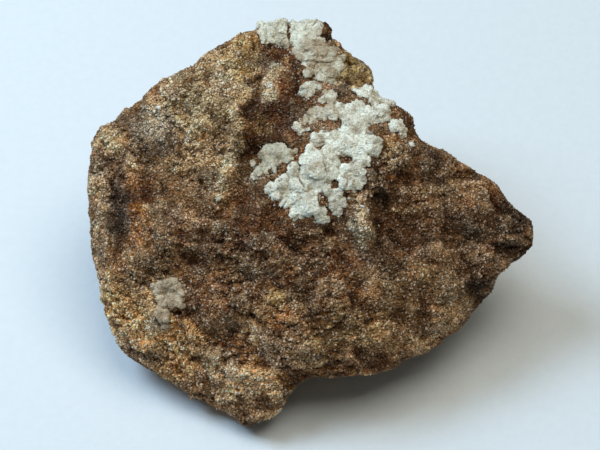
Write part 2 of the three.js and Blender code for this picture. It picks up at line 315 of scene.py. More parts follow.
def stoneMaterial():
    look = stoneFinish
    material, tree, shader = newMaterial("stone ground")
    sandShade, sandHue, sandDistance = objectCells(tree, look["sandSize"])
    clots = objectNoise(tree, *look["clots"])
    fine = objectNoise(tree, *look["fine"])
    speckle = multiplied(
        tree,
        stretched(tree, sandShade, *look["sandShades"], (0.0, 1.0)),
        stretched(tree, clots, *look["clotShades"]),
    )
    hue = mixed(tree, sandHue, *look["sandHues"])
    tinted = multiplied(tree, colourAndPaintedLightLayer(tree), hue, "VectorMath")
    setSockets(tree, shader, {
        "Base Color": scaledColour(tree, tinted, speckle),
        "Roughness": stretched(tree, fine, *look["roughness"]),
        "Specular IOR Level": 0.15,
    })
    domes = stretched(tree, sandDistance, 1.0, 0.0, (0.0, 0.7))
    addBump(tree, shader, zip((clots, domes, fine), look["bumps"]))
    return material


# Single grains: a noise, what it does to the colour layer and the roughness, and the rest of the shader
sandFinish = {
    "fine": (0.12, 2.0, 0.6), "shades": (0.75, 1.25), "roughness": (0.65, 0.95), "bump": 0.04,
    "rest": {"Specular IOR Level": 0.15},
}
glassFinish = {
    "fine": (0.2, 1.0, 0.5), "shades": (0.8, 1.2), "roughness": (0.08, 0.25), "bump": None,
    "rest": {"Specular IOR Level": 0.7, "Transmission Weight": 0.25, "IOR": 1.54},
}


def grainMaterial(name, look):
    material, tree, shader = newMaterial(name)
    fine = objectNoise(tree, *look["fine"])
    shade = stretched(tree, fine, *look["shades"])
    setSockets(tree, shader, {
        "Base Color": scaledColour(tree, colourAndPaintedLightLayer(tree), shade),
        "Roughness": stretched(tree, fine, *look["roughness"]),
        **look["rest"],
    })
    if look["bump"]:
        addBump(tree, shader, ((fine, look["bump"]),))
    return material


saltFinish = {
    "sugary": (0.13, 3.0, 0.65),
    "sugaryShades": (0.78, 1.04),
    "crumbs": (0.35, 3.0, 0.6),
    "crumbShades": (0.88, 1.08),
    "roughness": (0.65, 0.95),
    "bumps": (0.12, 0.07),  # crumbs, sugary
}


def saltMaterial():
    look = saltFinish
    material, tree, shader = newMaterial("salt crust")
    sugary = objectNoise(tree, *look["sugary"])
    crumbs = objectNoise(tree, *look["crumbs"])
    shade = multiplied(
        tree,
        stretched(tree, crumbs, *look["crumbShades"]),
        stretched(tree, sugary, *look["sugaryShades"], (0.25, 0.5)),
    )
    setSockets(tree, shader, {
        "Base Color": scaledColour(tree, colourAndPaintedLightLayer(tree), shade),
        "Roughness": stretched(tree, sugary, *look["roughness"]),
        "Specular IOR Level": 0.3,
        "Subsurface Weight": 0.1,
        "Subsurface Radius": (1.0, 0.95, 0.85),
        "Subsurface Scale": 0.0003,
    })
    addBump(tree, shader, zip((crumbs, sugary), look["bumps"]))
    return material


# Colours of the stone, as linear red, green and blue, then where each lies on the broad face.
stonePaints = {
    "umber": (0.165, 0.089, 0.048),
    "earth": (0.250, 0.141, 0.070),
    "darkUmber": (0.095, 0.050, 0.026),
    "nearBlack": (0.040, 0.026, 0.018),
    "sandyTan": (0.40, 0.305, 0.175),
    "paleTan": (0.50, 0.44, 0.30),
    "goldenTan": (0.50, 0.385, 0.185),
    "resin": (0.44, 0.37, 0.20),
    "dustGrey": (0.35, 0.295, 0.225),
    "dustTan": (0.40, 0.30, 0.20),
    "paleGrey": (0.52, 0.475, 0.375),
    "rust": (0.180, 0.072, 0.023),
    "ochre": (0.70, 0.440, 0.205),
    "brightTan": (0.80, 0.60, 0.40),
    "brightGrey": (0.66, 0.60, 0.48),
    "orange": (0.46, 0.24, 0.085),
    "blueGrey": (0.085, 0.082, 0.080),
    "coolGrey": (0.300, 0.285, 0.265),
}

# a paint, then its spots: u, v, half sizes, turn in degrees, strength; later paints lie on top; the
# spots marked below hold painted shade or painted light
stainsAndPaintedLight = (
    ("resin", (6.2, 18, 2.6, 2.4, 0, 0.95)),
    ("ochre", (-17.6, -12.4, 7, 5.6, -30, 0.84), (-3, -12, 6, 3.6, 0, 0.15)),
    ("sandyTan", (-12, 8, 9, 7.5, 0, 0.55)),
    # the first umber spot is painted shade: it darkens the right half, where the face turns away from
    # the light
    ("umber", (13, -2, 13, 9.5, 0, 0.45), (3.2, 22.2, 1.1, 2.4, 0, 0.9)),
    ("paleTan", (-10, 15, 6, 4.4, 30, 0.66), (6.6, 16, 1.7, 0.7, -25, 0.7)),
    ("goldenTan", (-13.2, 6.2, 2.6, 1.6, 0, 0.45), (-6.4, 19.4, 2.4, 2.4, 30, 0.6)),
    # the second spot is painted light on the lower left edge, which faces down
    ("brightTan", (-15, 6.4, 9, 2.6, 4, 0.28), (-19.4, -13.4, 2.6, 2, -35, 0.35)),
    ("darkUmber", (5.2, 17.2, 0.3, 2, -6, 0.75), (7.4, 17, 0.3, 1.4, -10, 0.6)),
    ("nearBlack", (2.9, 20.8, 0.5, 0.9, 0, 0.8), (4.8, 14.9, 1.1, 1.2, 0, 0.85)),
    ("dustGrey", (15, 0, 10, 5.5, 0, 0.07), (-16.6, 11.4, 2.6, 2.4, 0, 0.8)),
    ("sandyTan", (17.6, 4.8, 3.6, 0.5, 14, 0.55), (2.6, 23.6, 1.2, 0.4, -20, 0.6)),
    # the second umber spot darkens the hollow left of the main crust: its dark brown tone and painted
    # shade
    ("umber", (2, -4, 11, 5, 0, 0.5), (-2.9, 12.4, 2.8, 4.8, 0, 0.9), (-11, 2, 7, 4.5, 0, 0.35),
     (-8, -1.6, 5.6, 2.6, -8, 0.8)),
    ("darkUmber", (-7.4, -2.2, 4.6, 1.8, -8, 0.3), (-20.6, 3.2, 1.8, 4.6, 0, 0.8),
     (-4.8, 16.5, 1.1, 0.45, 15, 0.7), (-2.4, 19.2, 2.2, 1.6, 0, 0.75)),
    ("rust", (-2.2, 11, 2.2, 1.9, 0, 0.65), (-1.9, 19, 1.5, 1.3, 0, 0.5),
     (-8.3, -12.6, 1.3, 1, 0, 0.8)),
    ("goldenTan", (-4.4, 11.2, 0.7, 1.5, 0, 0.45), (-1.3, 18.9, 0.5, 0.5, 0, 0.5),
     (-2.8, -8.3, 0.9, 1.1, 0, 0.75), (14.2, -5, 1.3, 0.9, 10, 0.6)),
    ("dustGrey", (2.6, -1.4, 3.2, 1.4, 0, 0.18), (-7.4, 8.1, 0.7, 1, -20, 0.6),
     (-8.6, -16.2, 2.6, 2.4, -25, 0.6)),
    ("blueGrey", (-20.8, 1.6, 1.7, 3.4, 0, 0.55), (19.9, -8, 1.2, 2.2, -38, 0.85)),
    ("sandyTan", (4.2, -11.6, 2.6, 3.2, 0, 0.5), (-9.4, 5, 1.8, 2, 0, 0.4),
     (-8, -5, 3.8, 1.6, 0, 0.28)),
    ("paleTan", (-8.2, 6.4, 0.75, 2.6, -14, 0.8), (-8.4, 17.4, 1.5, 1.2, 20, 0.7),
     (-9.4, -15.2, 1.4, 1.6, -25, 0.4)),
    # the second spot is painted shade in a small cavity
    ("darkUmber", (-0.9, 12.6, 0.9, 2.6, 0, 0.6), (-5.8, 12.9, 0.75, 1.1, 0, 0.9),
     (-2.9, 8.7, 2.4, 0.7, 0, 0.7), (-0.7, 16.6, 0.8, 2.2, 8, 0.8)),
    ("paleGrey", (-16.7, 11.8, 2, 1.7, 0, 0.2), (-9, 3.1, 0.55, 0.45, 30, 0.9),
     (-3.2, 15.8, 0.95, 2.3, -12, 0.95), (-0.2, 11, 0.4, 0.8, 0, 0.8), (-2.4, 17.4, 0.8, 0.7, 0, 0.6)),
    ("dustGrey", (-11.4, 1, 1.9, 0.6, 40, 0.6), (0, -8.2, 1.5, 2.4, 10, 0.45)),
    ("rust", (-6, 8.7, 1.5, 1.2, 0, 0.9), (21.6, -9, 0.5, 2.4, -38, 0.7)),
    ("umber", (8.6, -7.8, 3, 3.8, 0, 0.55), (-6.4, 3.4, 2.2, 1.7, 0, 0.7)),
    ("darkUmber", (-5.2, 8.4, 0.7, 0.9, 0, 0.7), (-5.2, 5.2, 2, 1.3, 0, 0.6)),
    ("coolGrey", (-16.4, 10.4, 2.6, 3, 0, 0.55), (-5, 5.6, 1.3, 0.7, 20, 0.5),
     (-11.8, 10.8, 0.9, 1.8, -22, 0.35)),
    ("paleTan", (-21.7, 9.6, 1.5, 1.6, 0, 0.9), (-11.6, 11.2, 0.7, 1.6, -22, 0.95),
     (-7.2, 9.4, 0.65, 2.5, -6, 0.85), (7, 0, 0.95, 2.6, 6, 0.95)),
    ("brightGrey", (7, 0.3, 0.9, 2.3, 6, 0.95)),
    ("dustGrey", (8.6, 3.6, 2.6, 2.6, 0, 0.5), (6.8, -2.8, 0.9, 1, 8, 0.4)),
    # the second spot is a painted shadow in the groove right of the pale spur
    ("darkUmber", (-2.6, 3.6, 2.4, 2.6, 20, 0.3), (8.6, -0.6, 0.6, 1.8, 6, 0.8)),
    ("ochre", (-4.5, -18.2, 4.5, 3, -30, 0.7)),
    ("sandyTan", (10.7, 7.9, 1.7, 1.9, -20, 0.75), (1.5, -14.5, 2.6, 1.6, 0, 0.5)),
    # the first spot is painted light on the heel, which faces down
    ("brightTan", (-5, -19.2, 4.2, 2.6, -30, 0.65), (-8.8, -11, 2, 1.6, 0, 0.4),
     (-5.6, -13.8, 2.2, 1.8, 0, 0.35)),
    ("paleTan", (11.6, 1.85, 1.6, 0.22, 4, 0.7)),
    # painted shade in the pit above the lip
    ("nearBlack", (9.3, 2.6, 0.7, 0.9, 30, 0.7)),
    ("umber", (12.4, 6.2, 2.4, 1.2, 10, 0.5), (14.5, 0, 5.5, 2.2, 10, 0.35)),
    ("darkUmber", (-4, -20.4, 0.7, 0.6, 0, 0.4), (24, 0.2, 2.6, 3.4, -10, 0.88)),
    ("blueGrey", (-16, 8.6, 2.3, 1.1, 5, 0.45), (15.6, 6.8, 1.5, 1.2, 0, 0.4),
     (24, 0.6, 1.5, 2.4, -10, 0.5)),
    ("dustTan", (-22.7, 5.9, 1.3, 3.8, 0, 0.9), (16, 8.6, 3.6, 0.4, -38, 0.5),
     (-22.4, -2.2, 1.4, 2.8, 15, 0.8)),
    ("dustGrey", (21.8, -3.9, 1.3, 0.5, 28, 0.55), (18.6, -2.8, 2.8, 3.4, 0, 0.3)),
    ("rust", (-18, 3, 1.9, 3.8, 14, 1)),
    ("orange", (-17.7, 0.9, 0.9, 1.5, 0, 0.65), (-18.6, 4.8, 0.9, 1.6, 0, 0.45),
     (2.9, -4.7, 0.35, 0.35, 0, 0.8)),
    # the second spot is painted light on the lower right edge, which turns away from the light
    ("brightTan", (-22.4, 1, 1.6, 9, 4, 0.12), (16, -11.3, 5.6, 1.4, 40, 0.45),
     (-22.6, -6.6, 1.5, 3, 6, 0.28)),
    ("rust", (12, -9, 3, 2, 0, 0.3)),
    ("goldenTan", (-21.5, -7.6, 1.4, 2.4, 10, 0.4)),
    # the third spot is painted light on the lower right part, which gets little light
    ("sandyTan", (-17, -5.4, 4, 3.4, 0, 0.25), (7, -12.5, 3.6, 1.6, 20, 0.35),
     (12, -9, 7, 5, 20, 0.32)),
    ("paleTan", (-17, 1.7, 0.45, 0.35, 0, 0.8)),
    ("umber", (-10, -8, 4.4, 2.6, 0, 0.7), (-15.4, 1.6, 2.2, 1.8, 0, 0.3)),
    ("dustGrey", (-16.2, -9.6, 0.9, 1.8, 0, 0.5)),
    # painted shadow in the groove at the grey patch's lower right edge
    ("darkUmber", (-13.5, -10.8, 0.4, 1.7, 26, 0.7)),
)

stoneTone = {
    "wanderSize": 1.7,  # how far apart a stain's edge wanders, and how much, mm
    "wander": 1.2,
    "stainEdge": (0.65, 1.25),  # a spot fades out between these shares of its half sizes
    "faceEdge": (-0.15, 0.3),  # and where the stone turns away from the broad face
    "patchSize": 3.4,  # the loose brown and tan patches everywhere
    "patchDepth": 0.65,
    "finePatches": 0.5,
    "hollows": (0.02, -0.34),  # relief, mm: painted shade and a redder tone below, paler above
    "tops": (0.05, 0.36),
    # painted shade: how much the hollows of the relief are darkened
    "hollowPaintedShade": 0.58,
    "dust": 0.42,  # how far the high spots are blended toward pale dustTan
    "castEdge": (0.05, 0.35),  # grey and golden patches over the stains
    "grey": (2.8, 0.32, (1.19, 0.97, 0.84)),  # size, share and how it changes the colour
    "gold": (2.1, 0.28, (1.22, 1.02, 0.74)),
    "redSize": 2.3,
    "reds": (0.10, 0.14, -0.05),  # in patches, in hollows and everywhere
    "tint": (1.87, 1.77, 1.51),
}


def stoneColour(points, normals, form):
    look = stoneTone
    face = wanderedFace(points, look["wander"], look["wanderSize"], (3.1, 9.7))
    onFace = smoothStep(*look["faceEdge"], normals @ faceOut)
    colour = np.tile(stonePaints["earth"], (len(points), 1))
    for paint, *spots in stainsAndPaintedLight:
        for *spot, strength in spots:
            away = np.hypot(*spotShares(face, spot))
            cover = strength * onFace * (1 - smoothStep(*look["stainEdge"], away))
            colour = blended(colour, stonePaints[paint], cover)
    deep = smoothStep(*look["hollows"], form)
    colour = blended(colour, stonePaints["dustTan"], look["dust"] * smoothStep(*look["tops"], form))
    size, most, cast = look["grey"]
    grey = most * smoothStep(*look["castEdge"], noiseAt(points, size, 13.0))
    colour = blended(colour, colour.mean(axis=1)[:, None] * cast, grey)
    size, most, cast = look["gold"]
    gold = most * smoothStep(*look["castEdge"], noiseAt(points, size, 19.0))
    colour = blended(colour, colour * cast, gold)
    patch = 1 + look["patchDepth"] * noiseAt(points, look["patchSize"], 5.5)
    patch *= 1 + look["finePatches"] * noiseAt(points, look["patchSize"] / 3, 2.2)
    # painted shade darkens the hollows
    patch *= 1 - look["hollowPaintedShade"] * deep
    patchRed, hollowRed, allRed = look["reds"]
    redness = patchRed * noiseAt(points, look["redSize"], 7.7) + hollowRed * deep + allRed
    hue = np.stack([1 + redness, 1 - 0.2 * redness, 1 - 1.4 * redness], axis=1)
    return colour * patch[:, None] * hue * look["tint"]


# The rock: the CAD stone smoothed, then its relief, as pairs of a size and a height in mm
rockLook = {
    "voxel": 0.40,
    "smoothing": 2,
    "chips": ((5.0, 0.13), (1.9, 0.18)),
    "clods": ((3.6, 0.18), (2.5, -0.16), (1.5, 0.22), (0.8, 0.12)),
    "crease": 0.5,  # how deep the creases between clods are, as a share of their height
    "ripples": ((0.42, 0.08), (0.24, 0.05)),
    "pits": ((1.15, 0.20), (0.55, 0.14)),
    "pitEdge": (0.20, 0.48),
    "calm": (15.6, -0.9, 7.0, 3.4, 8, 0.4),  # the arm is smoother: a spot and the relief kept
    "calmEdge": (0.7, 1.2),
    "roughSize": 6.5,  # clods and pits come and go over this distance
    "roughLeast": 0.45,
    "roughMore": 0.9,
    "rimRelief": 0.40,  # share of the relief left where the stone turns away
    "rimEdge": (0.1, 0.55),
    "gapPaintedShade": (0.48, 0.41, 0.355),  # painted shade in the gaps between the grains, and a redder tone of the ground
    "backTriangles": 0.50,  # share of the triangles kept on the back and underneath
}

# single lumps, ridges and hollows: u, v, half sizes, turn in degrees, height in mm
relief = (
    (9.4, 2.6, 0.8, 0.9, 30, -0.8), (8.8, 3.2, 0.7, 0.5, 40, -0.5), (11.4, 1.75, 2.1, 0.35, 4, 0.4),
    (17.2, 4.1, 4.4, 0.45, 14, 0.3), (17, 5.1, 4.6, 0.55, 14, -0.35), (14.6, 6.9, 1, 0.8, 20, 0.45),
    (16.4, 6.2, 0.9, 0.9, -20, 0.45), (12.2, 5.2, 0.9, 0.7, 0, -0.45), (11, 7, 0.9, 0.8, 0, 0.3),
    (13.4, 8.3, 0.8, 0.7, 0, -0.4), (12.6, 4, 0.7, 0.5, 0, 0.3), (21, -4.3, 2, 0.35, 28, -0.25),
    (24.2, 0.6, 0.9, 1.4, -20, -0.35), (19.8, -8, 1.5, 1.9, -38, -0.45),
    (14.1, -10.7, 0.9, 0.9, 0, -0.7), (12.6, -9.6, 0.8, 0.7, 0, 0.35), (16, -9.8, 0.9, 0.7, 30, 0.35),
    (9.4, -15.2, 0.8, 0.8, 0, -0.6), (10.6, -13.2, 0.9, 0.7, 20, 0.3), (-12.2, -2, 2.3, 1.4, 0, 0.75),
    (-8.2, -1.8, 3.6, 1.4, -8, -0.15), (-5.6, 8.4, 1.5, 1.4, 0, -0.7), (-3.1, 12, 2.2, 4, 0, -0.8),
    (-5.8, 12.9, 0.6, 0.9, 0, -0.7), (-4.8, 16.5, 1, 0.4, 15, -0.4), (-2.4, 19.2, 1.9, 1.3, 0, -0.55),
    (-0.7, 16.6, 0.7, 2, 8, -0.6), (-6.2, 14.6, 0.9, 0.8, 0, 0.45), (-4.5, 10.9, 0.6, 1.2, 0, 0.45),
    (-2.6, 11.6, 0.8, 0.6, 20, 0.4), (-1.6, 9.9, 0.6, 0.5, 0, 0.35), (-3.4, 9.6, 0.6, 0.5, 0, 0.35),
    (-6.3, 8.6, 0.5, 0.6, 0, 0.4), (-0.6, 13.2, 0.5, 0.7, 0, 0.3), (-1.4, 18.9, 0.5, 0.5, 0, 0.35),
    (-3.4, 19.6, 0.6, 0.5, 0, 0.3), (-8.8, 15.6, 1.2, 1, 20, 0.35), (-10, 17.6, 0.7, 1, 30, -0.4),
    (-11.6, 15.9, 0.8, 0.6, 0, 0.4), (-9.8, 12.2, 0.6, 1, 0, -0.45),
    (-13.4, 13.6, 0.5, 1.1, -20, -0.4), (-14.8, 15, 0.9, 0.7, 30, 0.35),
    (-18.4, 12.6, 0.6, 1, 20, -0.35), (-7.6, 18.9, 0.8, 0.6, 30, 0.4), (-6.3, 2.8, 2, 1.4, 0, -0.35),
    (-15.9, 8.2, 1.9, 0.9, 0, -0.35), (-11.7, 11, 0.5, 1.6, -22, 0.7),
    (-12.8, 10.6, 0.5, 1.5, -22, -0.35), (-13.6, 10.2, 0.9, 1.9, 10, 0.25),
    (2.8, -4.7, 0.4, 0.4, 0, 0.4), (0, -4, 0.45, 0.4, 0, 0.3), (-2.8, -8.3, 0.9, 1, 0, 0.35),
    (-9, 3, 0.6, 0.5, 30, 0.45), (-7.2, 10.4, 0.6, 2.4, -8, 0.6), (-8, 6.6, 0.6, 2.4, -14, 0.5),
    (7.1, 0, 0.8, 2.3, 6, 0.8), (8.4, -0.7, 0.6, 1.9, 6, -0.55), (-3.2, 15.8, 0.9, 2.1, -12, 0.95),
    (-9.6, 13.4, 1.2, 2.4, -30, 0.4), (-20.6, 2.6, 0.9, 3.8, 4, -0.35), (-22.4, 5.4, 0.8, 3, 0, 0.25),
    (-18, 3.2, 1.2, 3.2, -14, -0.3), (-13.6, -10.9, 0.35, 1.7, 26, -0.55),
    (-15.6, -10.4, 0.8, 1.4, 6, 0.3), (-14.9, -7.4, 2.1, 1.5, 0, 0.25),
    (-8.6, -12.6, 1.1, 0.8, 0, -0.25), (0.4, -9, 1.4, 1.9, 10, -0.3),
    (-8.4, -15.8, 0.35, 1.6, -4, -0.25), (-4, -19.8, 1, 0.7, 0, -0.3),
)

# where the outline goes out or in a little: u, v, half sizes, and the move in u and v
nudges = (
    (26.2, -0.9, 2.4, 2.6, 0.85, 0), (13.8, 10, 2, 2, -0.5, -0.62), (16.6, 8.2, 2, 1.8, -0.2, -0.28),
    (8.9, 14.9, 1.1, 1.5, -0.6, -0.35), (5, 20.2, 1.8, 1.9, -0.5, -0.3),
    (-13.9, 17.3, 2.6, 1.9, 0.12, -0.2), (-21, 12.3, 1.8, 1.5, 0.3, -0.4),
    (-1, 24.6, 4.6, 2.2, 0, 1.1), (2.9, 22.8, 1.9, 1.9, 0.4, 1.25),
)


def reliefAt(points, normals):
    face = seenFace(points)
    onFace = smoothStep(0.0, 0.4, normals @ faceOut)
    height = np.zeros(len(points))
    for *spot, tall in relief:
        along, across = spotShares(face, spot)
        height += tall * onFace * np.exp(-along * along - across * across)
    return height


def nudged(places):
    face = seenFace(places)
    moved = places.copy()
    for *spot, shiftU, shiftV in nudges:
        along, across = spotShares(face, (*spot, 0))
        away = along ** 2 + across ** 2
        moved += np.exp(-away ** 2)[:, None] * (shiftU * faceRight + shiftV * faceUp)
    return moved


def rockSkin():
    look = rockLook
    bm = remeshed(nodeCopy("matrix"), look["voxel"])
    smoothOut(bm, look["smoothing"])
    bmesh.ops.subdivide_edges(bm, edges=bm.edges, cuts=1, use_grid_fill=True)
    smoothOut(bm, 1)
    mesh = meshFrom(bm, "rock")
    places, normals = placesAndNormals(mesh)
    form = reliefAt(places, normals)
    rough = smoothStep(-0.2, 0.3, noiseAt(places, look["roughSize"], 71.0))
    rough = look["roughLeast"] + look["roughMore"] * rough
    *spot, share = look["calm"]
    away = np.hypot(*spotShares(seenFace(places), spot))
    rough *= share + (1 - share) * smoothStep(*look["calmEdge"], away)
    for layer, (size, tall) in enumerate(look["chips"]):
        form += tall * chipsAt(places, size, 3.7 * layer + 1.3)
    for layer, (size, tall) in enumerate(look["clods"]):
        form += rough * tall * clodsAt(places, size, 17.3 * layer, look["crease"])
    for layer, (size, deep) in enumerate(look["pits"]):
        pits = smoothStep(*look["pitEdge"], noiseAt(places, size, 41.0 + 9 * layer))
        form -= rough * deep * pits
    facing = smoothStep(*look["rimEdge"], np.abs(normals @ faceOut))
    height = form * (look["rimRelief"] + (1 - look["rimRelief"]) * facing)
    for layer, (size, tall) in enumerate(look["ripples"]):
        height += tall * noiseAt(places, size, 5.1 * layer)
    setPlaces(mesh, nudged(places + normals * height[:, None]))
    return mesh, form


def paintRock(mesh, form):
    places, normals = placesAndNormals(mesh)
    colours = stoneColour(places, normals, form)
    # the ground is darkened: painted shade in the gaps between the grains
    setColourAndPaintedLight(mesh, colours * rockLook["gapPaintedShade"])
    back = mesh.attributes.new("back", "FLOAT", "POINT")
    back.data.foreach_set("value", smoothStep(0.05, 0.25, -(normals @ faceOut)))


stoneGround = stoneMaterial()
rockMesh, rockForm = rockSkin()
paintRock(rockMesh, rockForm)
rockTree = meshTree(rockMesh)
print("rock skin made")


# Helpers for many small shapes joined into one mesh


def shapeArrays(bm):
    bm.verts.index_update()
    corners = np.array([tuple(c.co) for c in bm.verts])
    sides = np.array([[c.index for c in f.verts] for f in bm.faces])
    bm.free()
    return corners, sides


def grainShapes(rng, count):
    # eight-sided grains with their corners pushed about
    shapes = []
    for _ in range(count):
        bm = bmesh.new()
        bmesh.ops.create_uvsphere(bm, u_segments=4, v_segments=2, radius=1.0)
        for corner in bm.verts:
            corner.co += Vector(rng.uniform(-0.3, 0.3, 3))
        shapes.append(shapeArrays(bm))
    return shapes


def ballShape(subdivisions):
    bm = bmesh.new()
    bmesh.ops.create_icosphere(bm, subdivisions=subdivisions, radius=1.0)
    return shapeArrays(bm)


def randomTurns(rng, count):
    # even random rotations
    q = rng.normal(size=(count, 4))
    q /= np.linalg.norm(q, axis=1)[:, None]
    w, x, y, z = q.T
    rows = [
        [1 - 2 * (y * y + z * z), 2 * (x * y - w * z), 2 * (x * z + w * y)],
        [2 * (x * y + w * z), 1 - 2 * (x * x + z * z), 2 * (y * z - w * x)],
        [2 * (x * z - w * y), 2 * (y * z + w * x), 1 - 2 * (x * x + y * y)],
    ]
    return np.moveaxis(np.array(rows), -1, 0)


def scatterOn(mesh, rng, count, values):
    # points spread evenly by area, the surface's normal at each, and what values holds there
    areas = np.zeros(len(mesh.polygons))
    mesh.polygons.foreach_get("area", areas)
    chosen = rng.choice(len(areas), size=count, p=areas / areas.sum())
    places, normals = placesAndNormals(mesh)
    corners = np.array([(tuple(mesh.polygons[face].vertices) * 2)[:4] for face in chosen.tolist()])
    weights = rng.dirichlet((1, 1, 1, 1), size=count)
    spots = np.einsum("nk,nkj->nj", weights, places[corners])
    ways = np.einsum("nk,nkj->nj", weights, normals[corners])
    ways /= np.linalg.norm(ways, axis=1)[:, None]
    return spots, ways, np.einsum("nk,nk->n", weights, values[corners])


def joinedMesh(name, shapes, picks, spots, sizes, turns):
    # one mesh of small shapes, each at its own place, size and turn
    places, faces, owners, start = [], [], [], 0
    for index, (corners, sides) in enumerate(shapes):
        rows = np.nonzero(picks == index)[0]
        grown = corners[None] * sizes[rows][:, None, :]
        placed = np.einsum("nij,nkj->nki", turns[rows], grown) + spots[rows][:, None, :]
        places.append(placed.reshape(-1, 3))
        offsets = start + len(corners) * np.arange(len(rows))
        faces.append((sides[None] + offsets[:, None, None]).reshape(-1, sides.shape[1]))
        owners.append(np.repeat(rows, len(corners)))
        start += len(corners) * len(rows)
    places, faces = np.concatenate(places), np.concatenate(faces)
    mesh = bpy.data.meshes.new(name)
    mesh.vertices.add(len(places))
    mesh.vertices.foreach_set("co", places.ravel())
    mesh.loops.add(faces.size)
    mesh.loops.foreach_set("vertex_index", faces.ravel())
    mesh.polygons.add(len(faces))
    mesh.polygons.foreach_set("loop_start", np.arange(len(faces)) * faces.shape[1])
    mesh.update(calc_edges=True)
    return mesh, np.concatenate(owners)


